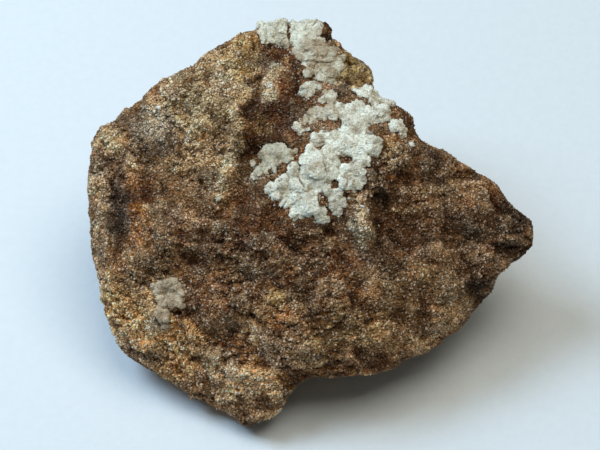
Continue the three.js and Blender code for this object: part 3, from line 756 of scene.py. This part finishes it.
# Salt crusts: clumps u, v, radius and how clean and bright each is, from 0 to 1
saltClumps = {
    "main_crust": (
        (7.3, 14.7, 1.02, 0.9), (8.1, 13.8, 1.13, 0.9), (8.8, 12.8, 1.02, 0.9), (7.7, 12.4, 1.02, 1),
        (9.5, 12.2, 0.56, 0.7), (6.5, 13.2, 0.79, 0.8), (5.6, 12.8, 0.9, 0.7), (4.5, 12.8, 0.9, 0.5),
        (3.4, 13, 0.68, 0.3), (2.5, 12.6, 0.68, 0.2), (1.5, 12.3, 0.68, 0.2), (0.8, 12, 0.45, 0.2),
        (6.2, 11.6, 1.13, 1), (7, 11.4, 0.9, 1), (5.6, 10.5, 1.13, 1), (5.1, 9.5, 1.02, 1),
        (7, 9.8, 1.02, 0.9), (7.9, 9.9, 0.79, 0.8), (8.4, 8.5, 0.68, 0.9), (7.7, 8.9, 0.79, 1),
        (6.4, 8.5, 1.13, 1), (6.9, 7.5, 0.68, 0.9), (4, 9.8, 0.9, 0.8), (2.8, 9.8, 0.79, 0.8),
        (1.8, 9.8, 0.56, 0.5), (3.3, 8.8, 0.79, 0.7), (4.4, 8.6, 0.9, 0.8), (2.6, 7.8, 1.02, 0.6),
        (1.4, 7.6, 1.02, 0.7), (0.6, 7.2, 0.68, 0.8), (3.5, 7.1, 0.9, 0.7), (2, 6.4, 1.13, 0.7),
        (0.8, 6, 0.9, 0.7), (3.4, 6, 0.9, 0.7), (2.5, 5, 0.9, 0.7), (1.4, 4.6, 0.9, 0.7),
        (0.2, 4.2, 0.79, 0.9), (-0.6, 4.6, 0.68, 0.8), (5.3, 6, 0.9, 0.9), (6.3, 6, 0.79, 0.9),
        (5.9, 4.9, 0.9, 0.9), (6.8, 5.1, 0.68, 0.9), (4.9, 5, 0.68, 0.9), (1.7, 3.4, 0.9, 1),
        (0.6, 3, 0.9, 0.9), (-0.3, 3, 0.9, 0.8), (-1.2, 3.7, 0.79, 0.7), (1.5, 2.1, 0.9, 1),
        (0.3, 1.9, 0.79, 1), (-0.6, 1.7, 0.68, 0.9), (-1.5, 2.5, 0.56, 0.8), (-2.5, 3.7, 0.79, 0.7),
        (-3.2, 4.2, 0.56, 0.6), (-1.9, 4.6, 0.68, 0.6), (2.3, 1.5, 0.68, 0.9), (2.6, 0.7, 0.45, 0.9),
        (2.9, 4, 0.56, 0.6), (4, 3.2, 0.68, 0.8), (4.7, 2.5, 0.56, 0.9), (4.2, 2, 0.56, 0.8),
    ),
    "summit_crust": (
        (-3.7, 22.7, 0.7, 1), (-3, 23, 0.75, 1), (-2.2, 23.2, 0.75, 1), (-1.7, 22.7, 0.55, 1),
        (-3.9, 22, 0.7, 1), (-3.1, 21.9, 0.85, 1), (-2.2, 22.1, 0.85, 1), (-4.1, 21.3, 0.55, 0.8),
        (-3.3, 21, 0.6, 0.8), (-2.3, 21.1, 0.7, 0.8), (-1.7, 20.6, 0.5, 0.5), (-0.6, 23.2, 0.55, 0.8),
        (0.1, 23.3, 0.7, 1), (0.9, 23, 0.7, 0.9), (-0.5, 22.3, 0.7, 0.9), (0.3, 22.3, 0.85, 1),
        (-0.5, 21.3, 0.65, 0.8), (0.3, 21.3, 0.8, 0.9), (1.1, 22.1, 0.7, 0.8), (1.7, 22.3, 0.6, 0.9),
        (2, 21.6, 0.5, 0.5), (1.2, 21.1, 0.8, 0.5), (0.2, 20.4, 0.65, 0.6), (1.1, 20.2, 0.75, 0.2),
        (0, 19.5, 0.55, 0.3), (0.6, 18.7, 0.6, 0.3), (1.6, 19.4, 0.8, 0.1), (2.2, 20.3, 0.6, 0.2),
        (2.6, 19.4, 0.75, 0.2), (3.5, 19.3, 0.7, 0.3), (1.5, 18.4, 0.7, 0.1), (2.5, 18.4, 0.75, 0.2),
        (3.5, 18.5, 0.65, 0.3), (4.4, 18.7, 0.55, 0.1), (4.3, 17.9, 0.5, 0.2), (2.2, 17.3, 0.7, 0.2),
        (3.1, 17.2, 0.7, 0.3), (3.8, 17, 0.5, 0.2), (1.3, 17.3, 0.45, 0.1), (0.8, 16.9, 0.4, 0.2),
        (2.6, 16.5, 0.6, 0.3), (3.3, 16.3, 0.55, 0.3), (1, 15.6, 0.62, 0.4), (1.7, 15.7, 0.5, 0.3),
        (0.7, 14.8, 0.5, 0.7), (1.3, 14.9, 0.5, 0.6), (3.3, 14.7, 0.5, 0.3), (2.7, 14.2, 0.4, 0.4),
        (3.6, 14.1, 0.35, 0.3),
    ),
    "side_crust": (
        (-3.4, 7.9, 1.02, 0.6), (-2.3, 8.2, 1.02, 0.6), (-1.4, 7.8, 0.79, 0.5), (-2.8, 7, 0.9, 0.6),
        (-4, 6.5, 0.56, 0.6), (-4.6, 6.1, 0.45, 0.6),
    ),
    "crust_nub": ((11.1, 11.1, 0.68, 0.8), (10.5, 11.3, 0.45, 0.8), (11.6, 10.4, 0.45, 0.6)),
    "grey_patch": (
        (-16.3, -6.8, 0.4, 0.5), (-15.6, -6.7, 0.45, 0.6), (-14.9, -6.5, 0.45, 0.5),
        (-14.2, -6.3, 0.4, 0.7), (-13.7, -6.9, 0.4, 0.5), (-14.4, -7.1, 0.45, 0.4),
        (-15.2, -7.3, 0.45, 0.5), (-16, -7.5, 0.4, 0.6), (-13.4, -7.7, 0.4, 0.4),
        (-14.1, -7.9, 0.45, 0.5), (-14.9, -8.1, 0.45, 0.3), (-15.7, -8.2, 0.4, 0.6),
        (-13.6, -8.5, 0.35, 0.4), (-14.4, -8.8, 0.4, 0.3), (-15.5, -9, 0.4, 0.5),
        (-15.9, -9.6, 0.38, 0.5), (-15.2, -9.8, 0.36, 0.4), (-15.7, -10.4, 0.38, 0.6),
        (-15.1, -10.6, 0.32, 0.4), (-15.3, -11.2, 0.32, 0.4), (-13.4, -9.1, 0.25, 0.3),
    ),
    "salt_crumbs": (
        (-0.8, 5.9, 0.62, 0.7), (-1.5, 5.4, 0.34, 0.6), (-0.3, 11, 0.4, 0.9), (0.3, 10.5, 0.34, 0.8),
        (0.9, 10.7, 0.28, 0.7), (9.6, 13.8, 0.34, 0.4), (10.3, 13.7, 0.34, 0.4), (12.6, 9, 0.23, 0.7),
        (-5.2, 5.4, 0.3, 0.2), (-5.4, 6.9, 0.26, 0.2), (-9.2, 3, 0.22, 0.4), (0.2, 5.3, 0.3, 0.6),
    ),
}

saltLook = {
    "spread": 1.18,  # clumps are this much wider than their radius, so that they meet
    "thick": 0.24,  # how thick a clump is, mm, and how much more for each mm of its radius
    "rise": 0.20,
    "core": (0.95, 0.78, 0.25),  # its core's width, height and place, as shares of the clump's
    "knobs": 6,  # knobs on each square mm
    "knobSize": 0.34,
    "knobSpread": 0.3,
    "knobShape": (1.2, 1.2, 0.6),
    "knobSunk": 0.45,
    "voxel": 0.085,
    "smoothing": 2,
    "clods": (1.2, 0.14),  # pairs of a size and a height in mm
    "sugar": ((0.5, 0.06), (0.2, 0.06)),
    "seamWidth": 0.32,  # seams between the clumps, as a share of their radius, and how deep, mm
    "seamDepth": 0.10,
    "pinSize": 0.85,  # how far apart the pin holes are, how wide and how deep
    "pinWidth": 0.14,
    "pinDepth": 0.22,
    "creaseWander": 0.35,
    "dirtReach": 0.14,  # dirt lies this far up from the rock
    "dirtAndSeamShadeShares": (0.75, 0.6, 0.45),  # near the rock, in loose spots, and painted shade in the seams
    # how strongly dirt and painted shade darken the crust
    "dirtAndShadeCover": 0.7,
    "bright": (0.86, 0.895, 0.775),
    "dull": (0.52, 0.455, 0.325),
    # the colour of dirt, and of the painted shade in pins, creases and seams
    "dirtAndShadeColour": (0.26, 0.18, 0.11),
    "shades": {
        "summit_crust": (0.91, 0.89, 0.86),
        "side_crust": (0.75, 0.71, 0.64),
        "grey_patch": (0.93, 0.90, 0.86),
    },
    "seed": 21,
}

# the grey patch is one thin pitted plate
plateLook = dict(
    saltLook, spread=1.3, thick=0.46, rise=0.0, knobs=12, knobSize=0.2, smoothing=1,
    pinWidth=0.18, seamDepth=0.0, dirtReach=0.1, bright=(0.70, 0.61, 0.455), dull=(0.45, 0.37, 0.26),
)

# cracks and gaps in the crusts: u, v, half sizes, turn in degrees, depth in mm
saltCreases = (
    (-1.25, 21.9, 0.14, 1.8, 0, 0.26), (2, 18.4, 1.6, 0.1, -3, 0.24), (1, 16.5, 0.9, 0.1, 10, 0.24),
    (1.6, 22.7, 0.1, 0.6, -50, 0.24), (0.15, 4.9, 0.12, 0.8, 25, 0.3),
    (-1.7, 2.4, 0.1, 0.8, -20, 0.24), (2.9, 6.6, 0.1, 0.9, 30, 0.2), (4.3, 11.3, 0.1, 1, -10, 0.2),
    (3.95, 4.5, 0.35, 0.4, 0, 0.8), (2.5, 2.9, 0.4, 0.85, 12, 0.5), (5.3, 7.3, 0.6, 0.28, 10, 0.8),
    (8.7, 10.8, 0.95, 0.5, 0, 0.9), (-2.1, 6.1, 0.5, 0.28, 0, 0.8), (3.1, 11.1, 1.2, 0.35, 5, 0.9),
    (2.4, 8.9, 0.5, 0.22, 20, 0.5),
)


def rockSurface(u, v):
    # where the camera meets the rock, or the rock's rim nearest to there
    start = Vector(fromFace(0, 0, cameraAway))
    spot, way, _, _ = rockTree.ray_cast(start, (Vector(fromFace(u, v)) - start).normalized())
    if spot is None:
        spot, way, _, _ = rockTree.find_nearest(Vector(fromFace(u, v, -3.0)))
    return np.array(spot), np.array(way)


def turnsTo(ways):
    # rotations that stand a shape's own Z along each way
    return np.array([np.array(Vector(w).to_track_quat("Z", "Y").to_matrix()) for w in ways])


def evenWay(u, v, reach=0.9):
    # the rock's general slope there
    left, right = rockSurface(u - reach, v)[0], rockSurface(u + reach, v)[0]
    low, high = rockSurface(u, v - reach)[0], rockSurface(u, v + reach)[0]
    way = np.cross(right - left, high - low)
    way /= np.linalg.norm(way)
    return way if way @ faceOut > 0.35 else faceOut


def pinsAt(points, size, radius):
    # small round pits, one in every other cell of this size, 1 in the middle of a pit
    depth = []
    for p in (points / size).tolist():
        distances, centres = noise.voronoi(p)
        chosen = noise.cell(centres[0] * 5.3) > 0.1
        depth.append(max(0.0, 1 - distances[0] * size / radius) if chosen else 0.0)
    return np.array(depth)


def creaseDepth(points):
    # how deep the cracks and gaps go, in mm
    face = wanderedFace(points, saltLook["creaseWander"], 1.1, (4.4, 14.4))
    deepest = np.zeros(len(points))
    for *spot, deep in saltCreases:
        along, across = spotShares(face, spot)
        deepest = np.maximum(deepest, deep * np.exp(-along ** 4 - across ** 4))
    return deepest


def saltSkin(name, clumps, look, rng):
    # every clump is a low core with round knobs all over it, grown together into one skin
    cores, knobs = [], []
    coreWide, coreThick, coreOut = look["core"]
    for u, v, radius, _ in clumps:
        way = evenWay(u, v)
        wide = radius * look["spread"]
        thick = look["thick"] + look["rise"] * wide
        middle = rockSurface(u, v)[0] + way * coreOut * thick
        cores.append((middle, (coreWide * wide, coreWide * wide, coreThick * thick), way))
        for _ in range(int(look["knobs"] * wide ** 2) + 4):
            share = math.sqrt(rng.random())
            turn = rng.uniform(0, 2 * math.pi)
            size = min(look["knobSize"] * math.exp(rng.normal(0, look["knobSpread"])), 0.75 * wide)
            reach = wide * share
            spot = rockSurface(u + reach * math.cos(turn), v + reach * math.sin(turn))[0]
            stand = thick * (1 - share ** 3) * rng.uniform(0.8, 1.05) - look["knobSunk"] * size
            sizes = size * rng.uniform(0.8, 1.2, 3) * look["knobShape"]
            knobs.append((spot + way * stand, sizes, way))
    bm = bmesh.new()
    for shape, rows in ((ballShape(3), cores), (ballShape(2), knobs)):
        spots, sizes, ways = (np.array(column) for column in zip(*rows))
        picks = np.zeros(len(rows), int)
        bm.from_mesh(joinedMesh("lumps", [shape], picks, spots, sizes, turnsTo(ways))[0])
    bm = remeshed(bm, look["voxel"])
    smoothOut(bm, look["smoothing"])
    middles, radii, _ = (np.array(column) for column in zip(*cores))
    return meshFrom(bm, name), middles, radii[:, 0]


def knobbySalt(name, clumps, look, seed):
    mesh, middles, radii = saltSkin(name, clumps, look, np.random.default_rng(seed))
    places, normals = placesAndNormals(mesh)
    pins = pinsAt(places, look["pinSize"], look["pinWidth"])
    creases = creaseDepth(places)
    size, tall = look["clods"]
    height = tall * clodsAt(places, size, 2.6)
    for (size, tall), shift in zip(look["sugar"], (6.6, 3.3)):
        height += tall * noiseAt(places, size, shift)
    apart = np.linalg.norm(places[:, None, :] - middles[None], axis=2) / radii
    near = np.argmin(apart, axis=1)
    apart.sort(axis=1)
    seams = 1 - smoothStep(0.0, look["seamWidth"], apart[:, 1] - apart[:, 0])
    seams *= smoothStep(0.3, 0.8, apart[:, 0]) * smoothStep(-0.2, 0.25, noiseAt(places, 1.6, 12.0))
    height -= look["pinDepth"] * pins + creases + look["seamDepth"] * seams
    setPlaces(mesh, places + normals * height[:, None])
    above = np.array([rockTree.find_nearest(p)[3] for p in vertexPlaces(mesh).tolist()])
    # colour: each clump's own brightness, dirt low down and in loose spots, painted shade in the pins,
    # creases and seams
    brights = np.array(clumps)[:, 3]
    clean = brights[near] + 0.8 * noiseAt(places, 1.5, 2.5) + 0.5 * noiseAt(places, 0.5, 8.5)
    low, loose, seamShade = look["dirtAndSeamShadeShares"]
    dirtAndShade = np.max([
        low * (1 - smoothStep(0.0, look["dirtReach"], above + 0.25 * noiseAt(places, 0.5, 7.0))),
        loose * smoothStep(0.28, 0.5, noiseAt(places, 0.9, 15.0)),
        seamShade * seams,
        smoothStep(0.0, 0.5, pins),
        smoothStep(0.0, 0.3, creases),
    ], axis=0)
    colour = blended(np.array(look["dull"]), look["bright"], np.clip(clean, 0, 1.1))
    colour = blended(colour, look["dirtAndShadeColour"], look["dirtAndShadeCover"] * dirtAndShade)
    colour *= look["shades"].get(name, (1, 1, 1))
    setColourAndPaintedLight(mesh, colour)
    return mesh, colour, above


saltCrust = saltMaterial()
crustMeshes, crustTints = {}, {}
for order, (crustName, clumps) in enumerate(saltClumps.items()):
    look = plateLook if crustName == "grey_patch" else saltLook
    mesh, colour, above = knobbySalt(crustName, clumps, look, look["seed"] + order)
    crustMeshes[crustName] = mesh
    crustTints[crustName] = (colour, above)
crustTrees = {crustName: meshTree(mesh) for crustName, mesh in crustMeshes.items()}
print("crusts made")


# Sand grains strewn over the rock and joined into a few pieces
sandLook = {
    "count": 88000,
    "pieces": 4,
    "shapes": 8,
    "size": 0.108,  # half the width of a middling grain
    "sizeSpread": 0.28,
    "sidesSpread": (0.7, 1.3),
    "sunk": 0.03,  # grains sit this much higher or lower
    "rimSize": 0.55,  # grains on the turned away edges are smaller
    "shade": (0.10, 0.62),  # light and dark grains: the middle and spread of the exponent
    "shadeEnds": (0.15, 1.6),
    "golden": 0.2,
    "washed": (1.10, 1.01, 0.89),  # the brightest are washed to this cast of grey
    "paleShare": 0.03,
    "darkShare": 0.15,
    "brightest": 0.85,
    "glassyShare": 0.004,
    "glassTint": (0.60, 0.52, 0.38),
    # the resin-like knob and the broken edge hold little sand: a spot and the share kept
    "smoothSpots": ((6.3, 17.9, 2.2, 2.4, 0, 0.04), (19.9, -8, 1, 2.2, 0, 0.4)),
    "saltNear": 0.9,  # white crumbs lie this close to the crusts, mm, and their share there
    "saltyShare": 0.13,
    "seed": 11,
}


def grainColours(rng, ground):
    # each grain takes the colour under it, painted shade included, lighter or darker; some are pale or
    # dark
    look = sandLook
    count = len(ground)
    shade = np.clip(np.exp(rng.normal(*look["shade"], count)), *look["shadeEnds"])
    shade **= 1 - 0.25 * smoothStep(0.20, 0.60, ground.mean(axis=1))  # pale ground varies less
    golden = rng.uniform(0, look["golden"], count)
    tan = np.array(stonePaints["sandyTan"]) * shade[:, None] * 0.75
    colour = blended(ground * shade[:, None], tan, golden)
    grey = colour.mean(axis=1)[:, None] * look["washed"]
    colour = blended(colour, grey, 0.6 * smoothStep(0.7, 1.8, shade))
    pale = rng.uniform(0.2, 0.8, count) * (rng.random(count) < look["paleShare"])
    colour = blended(colour, stonePaints["paleTan"], pale)
    dark = rng.uniform(0.4, 0.9, count) * (rng.random(count) < look["darkShare"])
    colour = blended(colour, stonePaints["nearBlack"], dark)
    return np.clip(colour, 0.0, look["brightest"])


def underCrust(spot, way):
    start = spot - 0.2 * way
    return any(tree.ray_cast(start, way, 2.5)[0] is not None for tree in crustTrees.values())


def crustDistance(spot):
    return min(tree.find_nearest(spot)[3] for tree in crustTrees.values())


def grainSizes(rng, look, shares):
    # three half widths for each grain
    middle = look["size"] * np.exp(rng.normal(0, look["sizeSpread"], len(shares))) * shares
    return middle[:, None] * rng.uniform(*sandLook["sidesSpread"], (len(shares), 3))


def randomGrains(rng, count):
    # a few shapes, which one each grain has, and how it is turned
    shapes = grainShapes(rng, sandLook["shapes"])
    return shapes, rng.integers(0, len(shapes), count), randomTurns(rng, count)


def strewSand():
    look = sandLook
    rng = np.random.default_rng(look["seed"])
    spots, ways, forms = scatterOn(rockMesh, rng, look["count"], rockForm)
    pairs = zip(spots.tolist(), ways.tolist())
    bare = np.array([not underCrust(Vector(spot), Vector(way)) for spot, way in pairs])
    face = seenFace(spots)
    for *spot, share in look["smoothSpots"]:
        away = np.hypot(*spotShares(face, spot))
        bare &= (away > rng.uniform(0.8, 1.1, len(spots))) | (rng.random(len(spots)) < share)
    spots, ways, forms = spots[bare], ways[bare], forms[bare]
    count = len(spots)
    facing = smoothStep(0.1, 0.45, np.abs(ways @ faceOut))
    sizes = grainSizes(rng, look, look["rimSize"] + (1 - look["rimSize"]) * facing)
    spots = spots + ways * rng.normal(0.0, look["sunk"], count)[:, None]
    shapes, picks, turns = randomGrains(rng, count)
    colours = grainColours(rng, stoneColour(spots, ways, forms))
    away = np.array([crustDistance(spot) for spot in spots.tolist()])
    nearSalt = 1 - smoothStep(0.1, look["saltNear"], away)
    salty = rng.random(count) < look["saltyShare"] * nearSalt
    colours[salty] = np.array(saltLook["bright"]) * rng.uniform(0.4, 0.9, (salty.sum(), 1))
    glassy = (rng.random(count) < look["glassyShare"]) & ~salty
    order = np.argsort(spots[:, 0])
    plain = np.array_split(order[~glassy[order]], look["pieces"])
    groups = [(f"sand_{n + 1}", rows, sandGrains) for n, rows in enumerate(plain)]
    groups.append(("glassy_grains", order[glassy[order]], glassyGrains))
    for name, rows, material in groups:
        mesh, owners = joinedMesh(name, shapes, picks[rows], spots[rows], sizes[rows], turns[rows])
        tint = colours[rows][owners]
        if material is glassyGrains:
            tint = 0.7 * tint + 0.3 * np.array(look["glassTint"])
        setColourAndPaintedLight(mesh, tint)
        finishPiece(name, mesh, material)


sandGrains = grainMaterial("sand grains", sandFinish)
glassyGrains = grainMaterial("glassy grains", glassFinish)
strewSand()
print("sand strewn")


powderLook = {
    "count": 16500,
    "size": 0.058,
    "sizeSpread": 0.3,
    "shade": (0.04, 0.20),
    "clear": 0.06,  # powder lies only this far above the rock, mm
    "proud": 0.01,
    "seed": 31,
}


def strewPowder():
    # loose white grains; more are tried than needed, because some lie too low or face away
    look = powderLook
    rng = np.random.default_rng(look["seed"])
    areas = np.array([sum(p.area for p in mesh.polygons) for mesh in crustMeshes.values()])
    found = []
    for (name, mesh), share in zip(crustMeshes.items(), areas / areas.sum()):
        colour, above = crustTints[name]
        spots, ways, clear = scatterOn(mesh, rng, int(2.2 * look["count"] * share), above)
        tree = crustTrees[name]
        corner = [mesh.polygons[tree.find_nearest(s)[2]].vertices[0] for s in spots.tolist()]
        kept = (clear > look["clear"]) & (ways @ faceOut > -0.3)
        found.append((spots[kept], ways[kept], colour[corner][kept]))
    spots, ways, colours = (np.concatenate(parts) for parts in zip(*found))
    rows = rng.permutation(len(spots))[:look["count"]]
    spots, ways, colours, count = spots[rows], ways[rows], colours[rows], len(rows)
    sizes = grainSizes(rng, look, np.ones(count))
    shapes, picks, turns = randomGrains(rng, count)
    spots = spots + ways * look["proud"]
    mesh, owners = joinedMesh("salt_powder", shapes, picks, spots, sizes, turns)
    tint = colours * np.exp(rng.normal(*look["shade"], count))[:, None]
    setColourAndPaintedLight(mesh, tint[owners])
    finishPiece("salt_powder", mesh, saltCrust)


strewPowder()
print("salt powdered")


def thinnedBack(mesh):
    # fewer triangles where the stone turns away and the sand hides them
    piece = newObject("work", mesh)
    group = piece.vertex_groups.new(name="back")
    weights = np.zeros(len(mesh.vertices), np.float32)
    mesh.attributes["back"].data.foreach_get("value", weights)
    for index in np.nonzero(weights > 0.02)[0].tolist():
        group.add([index], float(weights[index]), "REPLACE")
    thin = piece.modifiers.new("thin", "DECIMATE")
    thin.ratio = rockLook["backTriangles"]
    thin.vertex_group = "back"
    bpy.context.view_layer.update()
    shown = piece.evaluated_get(bpy.context.evaluated_depsgraph_get())
    thinned = bpy.data.meshes.new_from_object(shown)
    thinned.attributes.remove(thinned.attributes["back"])
    bpy.data.objects.remove(piece)
    bpy.data.meshes.remove(mesh)
    return thinned


finishPiece("rock", thinnedBack(rockMesh), stoneGround, ("matrix",))

for crustName, mesh in crustMeshes.items():
    replaced = (crustName,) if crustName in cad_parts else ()
    finishPiece(crustName.replace("_", "-"), mesh, saltCrust, replaced)


# Camera, floor and light
camera = bpy.data.cameras.new("camera")
camera.lens = viewLook["lens"]
camera.sensor_width = viewLook["sensor"]
camera.clip_start, camera.clip_end = viewLook["clip"]
cameraObject = newObject("camera", camera)
cameraObject.location = Vector(fromFace(0, 0, cameraAway) * millimetre)
cameraObject.rotation_euler = Matrix((faceRight, faceUp, faceOut)).transposed().to_euler()
bpy.context.scene.camera = cameraObject


stageLook = {
    "paperFibre": (1.1, 4.0, 0.6),
    "paperColours": ((0.72, 0.81, 0.86), (0.75, 0.835, 0.885)),
    "floorSize": 0.9,  # metres
    # name, place in metres, sides in metres, watts, colour
    "lights": (
        ("window", (-0.22, 0.07, 0.30), (0.17, 0.17), 1.16, (0.66, 0.82, 1.0)),
        ("lamp", (0.08, 0.03, 0.45), (0.30, 0.30), 1.08, (1.0, 0.92, 0.79)),
    ),
    "sky": {"Color": (1.0, 0.95, 0.85, 1), "Strength": 0.10},
}


def paperMaterial():
    material, tree, shader = newMaterial("pale paper")
    fibre = objectNoise(tree, *stageLook["paperFibre"])
    setSockets(tree, shader, {
        "Base Color": mixed(tree, stretched(tree, fibre, 0, 1), *stageLook["paperColours"]),
        "Roughness": 0.9,
        "Specular IOR Level": 0.2,
    })
    addBump(tree, shader, ((fibre, 0.05),))
    return material


def addFloor():
    bm = bmesh.new()
    bmesh.ops.create_grid(bm, x_segments=8, y_segments=8, size=stageLook["floorSize"])
    mesh = meshFrom(bm, "floor")
    mesh.materials.append(paperMaterial())
    newObject("floor", mesh)


def addLight(name, place, size, watts, colour):
    light = bpy.data.lights.new(name, "AREA")
    light.shape = "RECTANGLE"
    light.size, light.size_y = size
    light.energy = watts
    light.color = colour
    lamp = newObject(name, light)
    lamp.location = place
    lamp.rotation_euler = (-Vector(place)).to_track_quat("-Z", "Y").to_euler()


def addSky():
    world = bpy.data.worlds.new("pale room")
    world.use_nodes = True
    setSockets(world.node_tree, world.node_tree.nodes["Background"], stageLook["sky"])
    bpy.context.scene.world = world


addFloor()
for light in stageLook["lights"]:
    addLight(*light)
addSky()
bpy.context.scene.view_settings.view_transform = "Standard"
print("camera, floor and light set")
